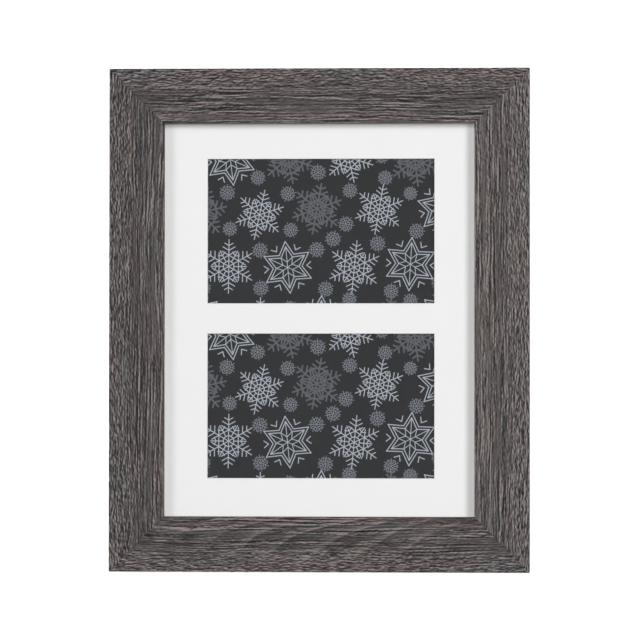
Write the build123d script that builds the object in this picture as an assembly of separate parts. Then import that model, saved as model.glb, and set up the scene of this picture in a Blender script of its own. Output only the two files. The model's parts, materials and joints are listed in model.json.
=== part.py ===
from build123d import *
import os

# A collage photo frame: four mitred rails round a glass, a mat with two windows, two prints,
# a filler card and a hardboard back with a folding strut. All sizes are in millimetres.
# Each piece is drawn with the frame upright: X runs to the right, Y from the front to the back and
# Z up, from the middle of the bottom edge of the front. The frame then leans back on its open strut.

# Sheets of the 8 by 10 inch format, and the rails round them
sheet_width = 203.2
sheet_height = 254.0
rabbet_play = 1.0
lip_reach = 7.15
lip_thickness = 6.0
moulding_width = 34.0
outer_edge_radius = 1.0
inner_edge_radius = 1.2

# Thickness of each layer, from the front to the back
glass_thickness = 2.0
mat_thickness = 1.5
print_thickness = 0.25
tape_thickness = 0.1
filler_thickness = 1.65
board_thickness = 3.0

# Mat windows, measured at the back of the mat, and the prints behind them
window_width = 139.7
window_height = 88.9
windows_rise = 2.0
bevel_width = 0.15
print_overlap = 6.35
print_spacing = 6.1
mat_shift_share = 0.8
tape_length = 18.0
tape_height = 20.0

# Mitre nails, bent to a right angle, and their places along the mitre
nail_leg = 5.0
nail_gauge = 0.5
nail_depth = 7.0
nail_place_shares = (0.3, 0.6)

# Turn buttons and their screws
button_pivot_radius = 6.0
button_tip_radius = 4.2
button_reach = 13.5
button_thickness = 1.0
button_set_back = 7.0
button_top_place = 60.0
button_side_place = 75.0
button_lip_width = 5.0
button_lip_height = 1.6
button_gap = 0.1
screw_radius = 1.5
screw_depth = 9.0
screw_tip_length = 2.5
screw_head_radius = 3.2
screw_head_height = 1.9
screw_head_round = 1.1
screw_slot_length = 3.6
screw_slot_width = 0.8
screw_slot_depth = 1.0

# Sawtooth hangers and their nails
hanger_length = 45.0
hanger_width = 9.0
hanger_gauge = 0.8
hanger_rise = 2.0
hanger_foot = 7.5
hanger_ramp = 3.0
hanger_tooth_pitch = 3.0
hanger_tooth_depth = 1.8
hanger_teeth = 7
hanger_nail_radius = 0.8
hanger_nail_depth = 10.0
hanger_nail_head_radius = 1.8
hanger_nail_head_height = 0.7

# Folding strut and its hinge
hinge_height = 215.0
lean_angle = 16.0
open_angle = 26.0
strut_top_width = 40.0
strut_foot_width = 62.0
strut_thickness = 2.5
strut_corner_radius = 4.0
pin_radius = 1.25
pin_head_rim = 0.6
pin_head_height = 0.6
leaf_gauge = 0.8
leaf_width = 36.0
leaf_length = 22.0
leaf_corner_radius = 3.0
knuckle_width = 15.4
stop_length = 9.0
rivet_radius = 1.5
rivet_head_radius = 2.9
rivet_head_height = 1.2
rivet_head_round = 0.9
rivet_tail_radius = 2.4
rivet_tail_height = 0.6
rivet_spacing_share = 0.6
rivet_place_share = 0.64

# Clearances
snug_gap = 0.02
running_gap = 0.05
stop_gap = 0.1
hinge_gap = 0.2
side_gap = 0.3
turning_gap = 0.5
overrun = 30.0

# Rails
sight_width = sheet_width + 2 * rabbet_play - 2 * lip_reach
sight_height = sheet_height + 2 * rabbet_play - 2 * lip_reach
outer_width = sight_width + 2 * moulding_width
outer_height = sight_height + 2 * moulding_width
rail_back_width = moulding_width - lip_reach

# Layers, as distances behind the front face of the rails
mat_front = lip_thickness + glass_thickness
print_front = mat_front + mat_thickness
print_back = print_front + print_thickness
filler_front = print_back + tape_thickness
board_front = filler_front + filler_thickness
back_plane = board_front + board_thickness

# Prints, and the heights of the mat's windows in front of them
print_width = window_width + 2 * print_overlap
print_height = window_height + 2 * print_overlap
mat_shift = mat_shift_share * rabbet_play
sheet_middle = rail_back_width + sheet_height / 2
window_step = print_height + print_spacing
upper_window = sheet_middle + windows_rise + window_step / 2
lower_window = sheet_middle + windows_rise - window_step / 2

# Hinge: its axis stands off the back far enough for the knuckles and for the folded strut,
# which lies under the moving leaf with its rivets clear of the back
bore_radius = pin_radius + running_gap
knuckle_radius = bore_radius + leaf_gauge
folded_stack = turning_gap + rivet_tail_height + strut_thickness + leaf_gauge
hinge_depth = back_plane + max(hinge_gap + knuckle_radius, folded_stack - knuckle_radius)
strut_leaf_inner = hinge_depth + knuckle_radius - leaf_gauge
strut_inner = strut_leaf_inner - strut_thickness
strut_top = hinge_height - knuckle_radius - turning_gap
rivet_spacing = rivet_spacing_share * leaf_width
rivet_set_back = rivet_place_share * leaf_length

upright = Axis((0, back_plane, 0), (1, 0, 0))
hinge_axis = Axis((0, hinge_depth, hinge_height), (1, 0, 0))


def block(low, high):
    """Box between two opposite corners."""
    size = [top - bottom for bottom, top in zip(low, high)]
    middle = [(top + bottom) / 2 for bottom, top in zip(low, high)]
    return Pos(*middle) * Box(*size)


def behind(shape, x, y, z):
    """Shape that was drawn along +Z, turned to point backwards from a place."""
    return Pos(x, y, z) * Rot(X=-90) * shape


def rod(radius, start, end, x, z):
    """Round bar from front to back."""
    length = end - start
    return behind(Cylinder(radius, length, align=(Align.CENTER, Align.CENTER, Align.MIN)), x, start, z)


def cross_rod(radius, low, high, y, z):
    """Round bar from left to right."""
    return Pos((low + high) / 2, y, z) * Rot(Y=90) * Cylinder(radius, high - low)


def plate_behind(sketch, front, back):
    """Flat sketch, X to the right and Y up, as a plate between two depths."""
    return Pos(0, front, 0) * Rot(X=90) * extrude(sketch, back - front, dir=(0, 0, -1))


# Rails


def moulding_section():
    """Section of a rail: X from the outer edge inwards, Y from the front to the back."""
    corners = [
        (0, 0),
        (moulding_width, 0),
        (moulding_width, lip_thickness),
        (rail_back_width, lip_thickness),
        (rail_back_width, back_plane),
        (0, back_plane),
    ]
    section = make_face(Polyline(*corners, close=True))
    outer = section.vertices().sort_by_distance((0, 0, 0))[0]
    section = fillet(outer, outer_edge_radius)
    inner = section.vertices().sort_by_distance((moulding_width, 0, 0))[0]
    return fillet(inner, inner_edge_radius)


def mitred_rail(length):
    """Rail along X with mitred ends, its outer edge at Z 0 and its front at Y 0."""
    across = Plane(origin=(0, 0, 0), x_dir=(0, 0, 1), z_dir=(-1, 0, 0))
    bar = extrude(across * moulding_section(), length / 2, both=True)
    plan = Polyline(
        (-length / 2, 0),
        (length / 2, 0),
        (length / 2 - moulding_width, moulding_width),
        (moulding_width - length / 2, moulding_width),
        close=True,
    )
    return bar & plate_behind(make_face(plan), 0, back_plane)


def rails():
    """The four rails, each turned to its side of the frame."""
    across = mitred_rail(outer_width)
    up = mitred_rail(outer_height)
    middle = outer_height / 2
    return {
        "rail_bottom": across,
        "rail_top": Pos(0, 0, outer_height) * Rot(Y=180) * across,
        "rail_left": Pos(-outer_width / 2, 0, middle) * Rot(Y=90) * up,
        "rail_right": Pos(outer_width / 2, 0, middle) * Rot(Y=-90) * up,
    }


def mitre_nails():
    """Bent nails across each mitre, driven in flush from the back."""
    front = back_plane - nail_depth
    nails = []
    for share in nail_place_shares:
        place = share * rail_back_width
        flat = block((place, front, place), (place + nail_leg, back_plane, place + nail_gauge))
        tall = block((place, front, place), (place + nail_gauge, back_plane, place + nail_leg))
        low_left = Pos(-outer_width / 2, 0, 0) * (flat + tall)
        low_right = mirror(low_left, Plane.YZ)
        middle = Plane.XY.offset(outer_height / 2)
        nails += [low_left, low_right, mirror(low_left, middle), mirror(low_right, middle)]
    return nails


# Glass, mat, prints and backing


def sheet(front, thickness, shift=0):
    """Sheet of the frame's format, standing on the rabbet of the bottom rail."""
    low = (shift - sheet_width / 2, front, rail_back_width)
    high = (shift + sheet_width / 2, front + thickness, rail_back_width + sheet_height)
    return block(low, high)


def window_cutter(height):
    """Window cut at a slant, so that it widens towards the front."""
    small = Rectangle(window_width, window_height)
    wide = Rectangle(window_width + 2 * bevel_width, window_height + 2 * bevel_width)
    cutter = loft([Pos(0, 0, 0) * small, Pos(0, 0, mat_thickness) * wide])
    return Pos(mat_shift, print_front, height) * Rot(X=90) * cutter


def mat_board():
    mat = sheet(mat_front, mat_thickness, mat_shift)
    return mat - window_cutter(upper_window) - window_cutter(lower_window)


def photo_print(height):
    low = (mat_shift - print_width / 2, print_front, height - print_height / 2)
    high = (mat_shift + print_width / 2, print_back, height + print_height / 2)
    return block(low, high)


def print_tapes():
    """Strip over each side edge of each print, stepped down on to the mat."""
    tapes = []
    for height in (upper_window, lower_window):
        low, high = height - tape_height / 2, height + tape_height / 2
        edge = print_width / 2
        on_print = block(
            (edge - tape_length / 2, print_back, low),
            (edge + tape_thickness, filler_front, high),
        )
        step = block((edge, print_front, low), (edge + tape_thickness, filler_front, high))
        on_mat = block(
            (edge, print_front, low),
            (edge + tape_length / 2, print_front + tape_thickness, high),
        )
        strip = on_print + step + on_mat
        tapes += [Pos(mat_shift, 0, 0) * strip, Pos(mat_shift, 0, 0) * mirror(strip, Plane.YZ)]
    return tapes


def rivet_places(z):
    return [(-rivet_spacing / 2, z), (rivet_spacing / 2, z)]


back_rivet_places = rivet_places(hinge_height + rivet_set_back)
strut_rivet_places = rivet_places(hinge_height - rivet_set_back)


def back_board():
    """Hardboard back, counterbored in front for the rivets' tails."""
    board = sheet(board_front, board_thickness)
    for x, z in back_rivet_places:
        board -= rod(rivet_radius + snug_gap, board_front, back_plane, x, z)
        tail = board_front + rivet_tail_height + snug_gap
        board -= rod(rivet_tail_radius + snug_gap, board_front, tail, x, z)
    return board


# Turn buttons


def button_places():
    """Name, pivot and turn of each button. A button with no turn points up."""
    inner = rail_back_width - button_set_back
    side = outer_width / 2 - inner
    middle = outer_height / 2
    top = outer_height - inner
    return {
        "bottom_left": (-button_top_place, inner, 0),
        "bottom_right": (button_top_place, inner, 0),
        "top_left": (-button_top_place, top, 180),
        "top_right": (button_top_place, top, 180),
        "left_lower": (-side, middle - button_side_place, 90),
        "left_upper": (-side, middle + button_side_place, 90),
        "right_lower": (side, middle - button_side_place, -90),
        "right_upper": (side, middle + button_side_place, -90),
    }


def turn_button():
    """Flat steel button, drawn round its pivot and pointing up, with a lip for the finger."""
    pivot = Circle(button_pivot_radius)
    tip = Pos(0, button_reach) * Circle(button_tip_radius)
    front = back_plane + button_gap
    back = front + button_thickness
    plate = plate_behind(make_hull([*pivot.edges(), *tip.edges()]), front, back)
    end = button_reach + button_tip_radius
    lip = block(
        (-button_lip_width / 2, front, end - button_thickness - snug_gap),
        (button_lip_width / 2, back + button_lip_height, end - snug_gap),
    )
    reach = rod(end, front, back + button_lip_height, 0, 0)
    hole = rod(screw_radius + running_gap, front, back, 0, 0)
    return plate + (lip & reach) - hole


def turn_buttons():
    button = turn_button()
    return {
        f"turn_button_{name}": Pos(x, 0, z) * Rot(Y=turn) * button
        for name, (x, z, turn) in button_places().items()
    }


def cross_slot(top):
    """Cross recess cut down from the top of a screw's head."""
    bar = Box(screw_slot_length, screw_slot_width, screw_slot_depth)
    return Pos(0, 0, top - screw_slot_depth / 2) * (bar + Rot(Z=90) * bar)


def button_screw():
    """Screw along +Z: its head seats at Z 0 and its point is below."""
    up, down = (Align.CENTER, Align.CENTER, Align.MIN), (Align.CENTER, Align.CENTER, Align.MAX)
    stem = screw_depth + button_gap + button_thickness + button_gap
    straight = stem - screw_tip_length
    shank = Cylinder(screw_radius, straight, align=down)
    tip = Pos(0, 0, -straight) * Cone(0, screw_radius, screw_tip_length, align=down)
    head = Cylinder(screw_head_radius, screw_head_height, align=up)
    head = fillet(head.edges().sort_by(Axis.Z)[-1], screw_head_round)
    return shank + tip + head - cross_slot(screw_head_height)


def button_screws():
    seat = back_plane + button_gap + button_thickness + button_gap
    screw = button_screw()
    return [behind(screw, x, seat, z) for x, z, turn in button_places().values()]


def screw_holes():
    start = back_plane - screw_depth
    radius = screw_radius + snug_gap
    return [rod(radius, start, back_plane, x, z) for x, z, turn in button_places().values()]


# Hangers


def hanger_strip():
    """Sawtooth hanger along X round its middle, with its teeth on its lower edge."""
    half, foot, ramp = hanger_length / 2, hanger_foot, hanger_ramp
    low, high = back_plane, back_plane + hanger_rise
    under = [(half, low), (half - foot, low), (half - foot - ramp, high)]
    over = [(x, y + hanger_gauge) for x, y in under]
    right = under[::-1] + over
    left = [(-x, y) for x, y in right[::-1]]
    section = make_face(Polyline(*right, *left, close=True))
    strip = extrude(section, hanger_width / 2, both=True)
    for k in range(hanger_teeth):
        x = (k - (hanger_teeth - 1) / 2) * hanger_tooth_pitch
        notch = Polyline(
            (x - hanger_tooth_pitch / 2, -hanger_width / 2),
            (x, hanger_tooth_depth - hanger_width / 2),
            (x + hanger_tooth_pitch / 2, -hanger_width / 2),
            close=True,
        )
        strip -= plate_behind(make_face(notch), high, high + hanger_gauge)
    for x in hanger_nail_offsets():
        strip -= rod(hanger_nail_radius + snug_gap, low, low + hanger_gauge, x, 0)
    return strip


def hanger_nail_offsets():
    offset = (hanger_length - hanger_foot) / 2
    return (-offset, offset)


def hanger_seats():
    """Turn and place that carry the hanger to the top rail and to the left rail."""
    middle = rail_back_width / 2
    return {
        "hanger_portrait": Pos(0, 0, outer_height - middle),
        "hanger_landscape": Pos(middle - outer_width / 2, 0, outer_height / 2) * Rot(Y=-90),
    }


def hangers():
    strip = hanger_strip()
    return {name: seat * strip for name, seat in hanger_seats().items()}


def hanger_nails():
    """Round nails through both feet of each hanger."""
    top = back_plane + hanger_gauge
    nails = []
    for seat in hanger_seats().values():
        for x in hanger_nail_offsets():
            stem = rod(hanger_nail_radius, back_plane - hanger_nail_depth, top, x, 0)
            head = rod(hanger_nail_head_radius, top, top + hanger_nail_head_height, x, 0)
            nails.append(seat * (stem + head))
    return nails


def nail_holes():
    start = back_plane - hanger_nail_depth
    radius = hanger_nail_radius + snug_gap
    return [
        seat * rod(radius, start, back_plane, x, 0)
        for seat in hanger_seats().values()
        for x in hanger_nail_offsets()
    ]


# Hinge and strut, drawn with the strut closed against the back


def leaf_plate(front, start, end):
    """Leaf between two heights, its two far corners rounded."""
    middle = (start + end) / 2
    outline = Pos(0, middle) * Rectangle(leaf_width, abs(end - start))
    far = outline.vertices().sort_by(lambda vertex: abs(vertex.Y - end))[:2]
    return plate_behind(fillet(far, leaf_corner_radius), front, front + leaf_gauge)


def knuckle(low, high):
    return cross_rod(knuckle_radius, low, high, hinge_depth, hinge_height)


def hinge_back_leaf():
    """Fixed leaf on the back board, bent up into a knuckle at each end of the pin."""
    start = hinge_height + knuckle_radius + side_gap
    leaf = leaf_plate(back_plane, start, hinge_height + leaf_length)
    inner = knuckle_width / 2 + side_gap
    bend = hinge_height + bore_radius
    for low, high in ((-leaf_width / 2, -inner), (inner, leaf_width / 2)):
        leaf += block((low, back_plane, bend), (high, back_plane + leaf_gauge, start))
        leaf += block((low, back_plane, bend), (high, hinge_depth, bend + leaf_gauge))
        leaf += knuckle(low, high)
    leaf -= cross_rod(bore_radius, -leaf_width, leaf_width, hinge_depth, hinge_height)
    for x, z in back_rivet_places:
        leaf -= rod(rivet_radius + snug_gap, back_plane, back_plane + leaf_gauge, x, z)
    return leaf


def hinge_strut_leaf():
    """Moving leaf on the strut, with the middle knuckle and the lug that stops the strut."""
    front = strut_leaf_inner
    start = hinge_height - knuckle_radius - side_gap
    leaf = leaf_plate(front, start, hinge_height - leaf_length)
    half = knuckle_width / 2
    leaf += block((-half, front, start), (half, front + leaf_gauge, hinge_height))
    leaf += knuckle(-half, half)
    # The lug lies flat on the fixed leaf when the strut is open, so it is drawn there and turned back.
    rest = back_plane + leaf_gauge + stop_gap
    lug = block(
        (-half, rest, hinge_height),
        (half, rest + leaf_gauge, hinge_height + stop_length),
    )
    leaf += lug.rotate(hinge_axis, -open_angle)
    leaf -= cross_rod(bore_radius, -leaf_width, leaf_width, hinge_depth, hinge_height)
    for x, z in strut_rivet_places:
        leaf -= rod(rivet_radius + snug_gap, front, front + leaf_gauge, x, z)
    return leaf


def hinge_pin():
    end = leaf_width / 2 + running_gap
    pin = cross_rod(pin_radius, -end, end, hinge_depth, hinge_height)
    for low, high in ((-end - pin_head_height, -end), (end, end + pin_head_height)):
        pin += cross_rod(pin_radius + pin_head_rim, low, high, hinge_depth, hinge_height)
    return pin


def rivet(front, back, x, z):
    """Rivet with a flat tail in front of one depth and a round head behind another."""
    head = Cylinder(rivet_head_radius, rivet_head_height, align=(Align.CENTER, Align.CENTER, Align.MIN))
    head = fillet(head.edges().sort_by(Axis.Z)[-1], rivet_head_round)
    tail = rod(rivet_tail_radius, front, front + rivet_tail_height, x, z)
    return tail + rod(rivet_radius, front, back, x, z) + behind(head, x, back, z)


def back_leaf_rivets():
    back = back_plane + leaf_gauge
    return [rivet(board_front, back, x, z) for x, z in back_rivet_places]


def strut_leaf_rivets():
    front = strut_inner - rivet_tail_height
    back = strut_leaf_inner + leaf_gauge
    return [rivet(front, back, x, z) for x, z in strut_rivet_places]


def strut_board():
    """Tapered strut, drawn past the ground that later trims its foot."""
    plan = Polyline(
        (-strut_top_width / 2, strut_top),
        (strut_top_width / 2, strut_top),
        (strut_foot_width / 2, 0),
        (strut_foot_width / 2, -overrun),
        (-strut_foot_width / 2, -overrun),
        (-strut_foot_width / 2, 0),
        close=True,
    )
    outline = make_face(plan)
    outline = fillet(outline.vertices().sort_by(Axis.Y)[-2:], strut_corner_radius)
    strut = plate_behind(outline, strut_inner, strut_leaf_inner)
    for x, z in strut_rivet_places:
        strut -= rod(rivet_radius + snug_gap, strut_inner, strut_leaf_inner, x, z)
    return strut


# Assembly


def whole(shapes):
    """Separate solids of one node as one shape."""
    return Compound([solid for shape in shapes for solid in shape.solids()])


def fixed_pieces():
    nails, holes = mitre_nails(), screw_holes() + nail_holes()
    pieces = {name: rail.cut(*nails, *holes) for name, rail in rails().items()}
    pieces["mitre_nails"] = whole(nails)
    pieces["glass_pane"] = sheet(lip_thickness, glass_thickness)
    pieces["mat_board"] = mat_board()
    pieces["upper_print"] = photo_print(upper_window)
    pieces["lower_print"] = photo_print(lower_window)
    pieces["print_tapes"] = whole(print_tapes())
    pieces["filler_card"] = sheet(filler_front, filler_thickness)
    pieces["back_board"] = back_board()
    pieces["button_screws"] = whole(button_screws())
    pieces["hanger_nails"] = whole(hanger_nails())
    pieces["hinge_back_leaf"] = hinge_back_leaf()
    pieces["hinge_pin"] = hinge_pin()
    pieces["back_leaf_rivets"] = whole(back_leaf_rivets())
    return pieces | hangers() | turn_buttons()


def strut_pieces():
    return {
        "strut_board": strut_board(),
        "hinge_strut_leaf": hinge_strut_leaf(),
        "strut_leaf_rivets": whole(strut_leaf_rivets()),
    }


def standing(shape):
    """Upright shape leaned back until the frame's lower back edge and its strut touch the ground."""
    return shape.rotate(upright, -lean_angle)


def standing_pieces():
    pieces = {name: standing(shape) for name, shape in fixed_pieces().items()}
    for name, shape in strut_pieces().items():
        pieces[name] = standing(shape.rotate(hinge_axis, open_angle))
    ground = Box(
        2 * outer_width,
        2 * outer_height,
        outer_height,
        align=(Align.CENTER, Align.CENTER, Align.MAX),
    )
    pieces["strut_board"] -= ground
    return pieces


def depth_shift(pieces):
    """How far the standing frame moves in Y to put the middle of its depth at zero."""
    box = Compound(list(pieces.values())).bounding_box()
    return -(box.min.Y + box.max.Y) / 2


def main():
    pieces = standing_pieces()
    place = Pos(0, depth_shift(pieces), 0)
    os.makedirs("parts", exist_ok=True)
    for name, shape in pieces.items():
        export_step(place * shape, f"parts/{name}.step")


if __name__ == "__main__":
    main()
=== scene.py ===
import json
import math

import bpy
import numpy as np
from mathutils import Matrix, Vector
from mathutils.geometry import delaunay_2d_cdt


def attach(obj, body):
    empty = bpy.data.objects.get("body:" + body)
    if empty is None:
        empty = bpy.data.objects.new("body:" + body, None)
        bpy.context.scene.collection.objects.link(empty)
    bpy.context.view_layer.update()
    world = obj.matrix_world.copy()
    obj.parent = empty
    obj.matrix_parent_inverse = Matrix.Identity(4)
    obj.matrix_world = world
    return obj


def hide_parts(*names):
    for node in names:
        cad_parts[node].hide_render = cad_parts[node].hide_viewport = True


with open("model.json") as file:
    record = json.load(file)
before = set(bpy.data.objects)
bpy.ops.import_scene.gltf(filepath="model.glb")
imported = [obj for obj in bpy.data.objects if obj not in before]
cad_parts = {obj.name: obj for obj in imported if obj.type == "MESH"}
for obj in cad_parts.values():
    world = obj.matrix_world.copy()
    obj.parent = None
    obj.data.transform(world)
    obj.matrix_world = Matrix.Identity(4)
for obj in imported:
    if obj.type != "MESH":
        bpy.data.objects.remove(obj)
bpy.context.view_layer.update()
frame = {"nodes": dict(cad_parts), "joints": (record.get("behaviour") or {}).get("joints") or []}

# The looks of a collage photo frame: embossed grey oak rails, a white mat with two windows, two prints
# of snowflakes, clear glass, and a black back with its strut, hinge, turn buttons and hangers.
# Sizes are in millimetres. Pieces are drawn on the upright frame, whose X runs to the right, Y from the
# front face to the back and Z up from its bottom edge, and are then leaned back as the CAD frame is.

MM = 0.001


# The upright frame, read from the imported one


def joint(name):
    """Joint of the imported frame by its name."""
    return next(row for row in frame["joints"] if row["name"] == name)


def lean_of_the_frame():
    """Angle between the frame's face and upright, from the axis of a turn button."""
    axis = joint("button_top_left_turn")["axis"]
    return math.atan2(-axis[2], axis[1])


LEAN = lean_of_the_frame()
STRUT_ANGLE = math.radians(joint("strut_fold")["range_deg"][1])


def node_points(node, turn):
    """Points of a CAD node under a matrix, in millimetres."""
    return np.array([turn @ vertex.co for vertex in frame["nodes"][node].data.vertices]) / MM


def upright_to_world():
    """Matrix that takes a point of the upright frame, in metres, to where it leans."""
    stood_up = Matrix.Rotation(LEAN, 4, "X")
    low = node_points("rail_bottom", stood_up).min(0)
    return stood_up.inverted() @ Matrix.Translation(Vector((0, low[1], low[2])) * MM)


TO_WORLD = upright_to_world()


def upright_box(node):
    """Lowest and highest corner of a CAD node in the upright frame."""
    points = node_points(node, TO_WORLD.inverted())
    return points.min(0), points.max(0)


GLASS_LOW, GLASS_HIGH = upright_box("glass_pane")
TOP_LOW, TOP_HIGH = upright_box("rail_top")

FRAME_WIDTH = TOP_HIGH[0] - TOP_LOW[0]
FRAME_HEIGHT = TOP_HIGH[2]
MOULDING_WIDTH = TOP_HIGH[2] - TOP_LOW[2]
MOULDING_DEPTH = TOP_HIGH[1]
RABBET_PLACE = upright_box("back_board")[0][2]
LIP_THICKNESS = GLASS_LOW[1]

# Rails: how closely their points are set
ALONG_PITCH = 0.9
FACE_PITCH = 0.23
SIDE_PITCH = 0.32
ROUND_STEPS = 6
MITRE_STEPS = (0.0, 0.12, 0.3, 0.6)

# Rails: their rounded edges, the relief pressed into the foil, and how foil and back give way at a mitre
OUTER_ROUND = 1.0
INNER_ROUND = 1.2
RELIEF_DEPTH = 0.16
RELIEF_SPREAD = 5.0
ARRIS_DEPTH = 0.25
SEAM_DEPTH = 1.4
CORE_INSET = 0.03

# Rails: the ropy strip beside the outer edge, the dark band next to it and the lighter wood further in
ROPY_SHARE = 0.36
ROPY_WAVER = 3.0
ROPY_FADE = 2.2
ROPY_SPREAD = 1.14
ROPY_LIFT = 0.15
STRAIGHT_SPREAD = 0.91
DARK_PLACE = 18.5
DARK_WIDTH = 4.5
DARK_DROP = 0.22
INNER_PLACE = 20.5
INNER_LIFT = 0.13
# The painted highlight on the ridges beside each pore: how many points it reaches and how strongly it lifts
# the tone
RIDGE_ROWS = 4
RIDGE_HIGHLIGHT = 0.18

# Rails: length and width of the marks that the grain is made of. The real pores are narrower, and the marks
# are drawn as wide as they need to be to show.
LONGEST_MARK = (80, 0.85)
LONG_MARK = (34, 0.76)
MIDDLE_MARK = (9, 0.68)
DASH_MARK = (5.2, 0.62)
SHORT_MARK = (2.1, 0.56)
LONG_CREASE = (26, 1.6)
SHORT_CREASE = (5, 1.3)
CREASE_WIDTH = 0.13
STRIPE = (55, 3.2)
TONE_PATCH = (80, 4.5)
GREY_PATCH = (70, 3.5)
GREY_STREAK = (22, 1.3)

# Rails: length and width of the waves in which the grain's lines and the edge of its ropy strip sway
EDGE_WAVE = (60, 60)
LONG_WAVE = (75, 22)
MIDDLE_WAVE = (24, 8)
ROPE_WAVE = (7, 2.6)
SHORT_WAVE = (2.6, 1.5)
FLAME_WAVE = (45, 14)

# What brings the noise to a reach of about -1 to 1
NOISE_GAIN = 1.6

# Rails: how tone, greyness and fibre are given to the foil, and the tint of its cool stripes
TONE_MIDDLE = 0.51
TONE_SPREAD = 4.6
GREYNESS_MIDDLE = 0.13
GREYNESS_SPREAD = 0.24
GREYNESS_MOST = 0.75
FIBRE_TONE = 0.8
OAK_COOL = (0.89, 0.885, 0.925)
RAIL_APART = 40.0

# The sweeps of the plain-sawn bottom rail
FLAME_STRENGTH = 1.5
FLAME_PITCH = 25.6
FLAME_START = 11.0
FLAME_FADE = 2.5
FLAME_SWAY = 5.0
FLAME_SLOPE = 1.1
FLAME_CURVE = 0.0026
FLAME_EDGE = 0.06
FLAME_MIDDLE = 0.3
FLAME_REACH = 90.0

# Prints: widths of the lines, and sizes and spacing of the flakes
LINE_WIDTH = 0.58
BOLD_WIDTH = 1.0
FINE_WIDTH = 0.45
LARGE_RADIUS = 16.2
SMALL_RADIUS = 4.9
FLAKE_PITCH = 38.0
FLAKE_JITTER = 2.6
FLAKE_TILT = 0.3
ROW_OFFSET = 0.35
SMALL_TRIES = 3000
FLAKE_SEED = 5
WELD = 1e-5

# Least and greatest share of its radius that a flake is drawn at
LARGE_SIZES = (0.95, 1.03)
SMALL_SIZES = (0.9, 1.05)

# How far a small flake's middle keeps from a large flake's rim and from another's middle, in small radii
SMALL_FROM_LARGE = 0.72
SMALL_FROM_SMALL = 2.45

# Inks of a print by the place of their material; the first is the ground
PALE_INK = 1
DIM_INK = 2
SMALL_INK = 3

# Glass
GLASS_IOR = 1.5
GLASS_CLEARANCE = 0.03
GLASS_ARRIS = 0.3

# Sizes of the patterns in the materials that are drawn as large as they are on the real surfaces
LACQUER_PEEL = 1.1
LACQUER_CLOUD = 20.0
PLATING_CLOUD = 3.0
CARD_FLECK = 1.7
CREPE_WRINKLE = 0.7
GLASS_SMEAR = 50.0

# Sizes of the patterns that are finer on the real surfaces, drawn as coarse as they need to be to show
FIBRE_LENGTH = 5.0
FIBRE_WIDTH = 0.45
BOARD_FLECK = 0.7
MAT_TOOTH = 0.5
PHOTO_TOOTH = 0.65
PHOTO_FLECK = 1.25
ROLLING_LENGTH = 4.0
ROLLING_WIDTH = 0.25

# Colours, as sRGB, from the darkest tone to the lightest where a material has several
OAK_TONES = ("#181414", "#2d2828", "#494443", "#69615f", "#8b8280")
FIBREBOARD = ("#86694a", "#9f815d", "#b99b75")
MAT_FACE = ("#efefef", "#f3f3f3")
# The mat's cut core: the board's white core, drawn whiter still as a painted highlight on its shaded slant
MAT_CORE_AND_HIGHLIGHT = "#fcfcfb"
PRINT_GROUND = "#2d2e30"
PRINT_PALE = "#b1b7c0"
PRINT_DIM = "#606368"
PRINT_SMALL = "#80858d"
PHOTO_PAPER = ("#e4e2dc", "#efeeea")
GLASS_CLEAR = "#fefefe"
LACQUER_BLACK = ("#161514", "#2b2927")
HARDBOARD_CUT = ("#4a3524", "#6b4e36")
GREY_BOARD = ("#8c8376", "#a39a8d")
CREPE_TAPE = ("#c4b286", "#d8c89f")
ZINC_PRESSED = ("#a3a7ac", "#bcbfc3")
ZINC_ROLLED = ("#9da1a6", "#b8bbbf")
ZINC_HEADED = ("#989b9f", "#c3c5c8")
BRASS_ROLLED = ("#b99a60", "#cdb077")
BRASS_TURNED = ("#bfa168", "#d1b67e")
STEEL_DRAWN = ("#7d7f82", "#a7a8aa")
STUDIO_WHITE = "#f7f7f6"

# Inputs of a Mix node for colours: its share and the colours that it goes from and to; then its output
SHARE = 0
FROM = 6
TO = 7
MIXED = 2


# Meshes


def new_object(name, points, faces, materials, face_material=None, smooth=False):
    """Mesh object from points of the upright frame, leaned back into place; smooth may differ by face."""
    mesh = bpy.data.meshes.new(name)
    turn = np.array(TO_WORLD)
    world = (np.asarray(points) * MM) @ turn[:3, :3].T + turn[:3, 3]
    mesh.from_pydata(world.tolist(), [], [list(map(int, face)) for face in faces])
    for material in materials:
        mesh.materials.append(material)
    if face_material is not None:
        mesh.polygons.foreach_set("material_index", np.asarray(face_material, np.int32))
    mesh.polygons.foreach_set("use_smooth", np.zeros(len(mesh.polygons), bool) | smooth)
    mesh.update()
    made = bpy.data.objects.new(name, mesh)
    bpy.context.scene.collection.objects.link(made)
    return made


def store(piece, name, kind, values):
    """Writes one value or vector for each point of a mesh."""
    layer = piece.data.attributes.new(name, kind, "POINT")
    key = "vector" if kind == "FLOAT_VECTOR" else "value"
    layer.data.foreach_set(key, np.asarray(values, np.float32).ravel())


# Materials


def linear(colour):
    """Linear colour of an sRGB hex value."""
    parts = [int(colour[start:start + 2], 16) / 255 for start in (1, 3, 5)]
    return tuple(c / 12.92 if c <= 0.04045 else ((c + 0.055) / 1.055) ** 2.4 for c in parts) + (1.0,)


def add(tree, kind, settings=(), links=()):
    """Adds a node with its properties or inputs set and its inputs linked from other sockets."""
    node = tree.nodes.new(kind)
    for key, value in dict(settings).items():
        if isinstance(key, str) and hasattr(node, key):
            setattr(node, key, value)
        else:
            node.inputs[key].default_value = value
    for key, source in dict(links).items():
        tree.links.new(source, node.inputs[key])
    return node


def new_material(name, shine):
    """Material with one Principled shader, its shine set on the shader's own sockets."""
    material = bpy.data.materials.new(name)
    material.use_nodes = True
    tree = material.node_tree
    tree.nodes.clear()
    shader = add(tree, "ShaderNodeBsdfPrincipled", shine)
    add(tree, "ShaderNodeOutputMaterial", links={"Surface": shader.outputs["BSDF"]})
    return material, tree, shader


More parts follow.
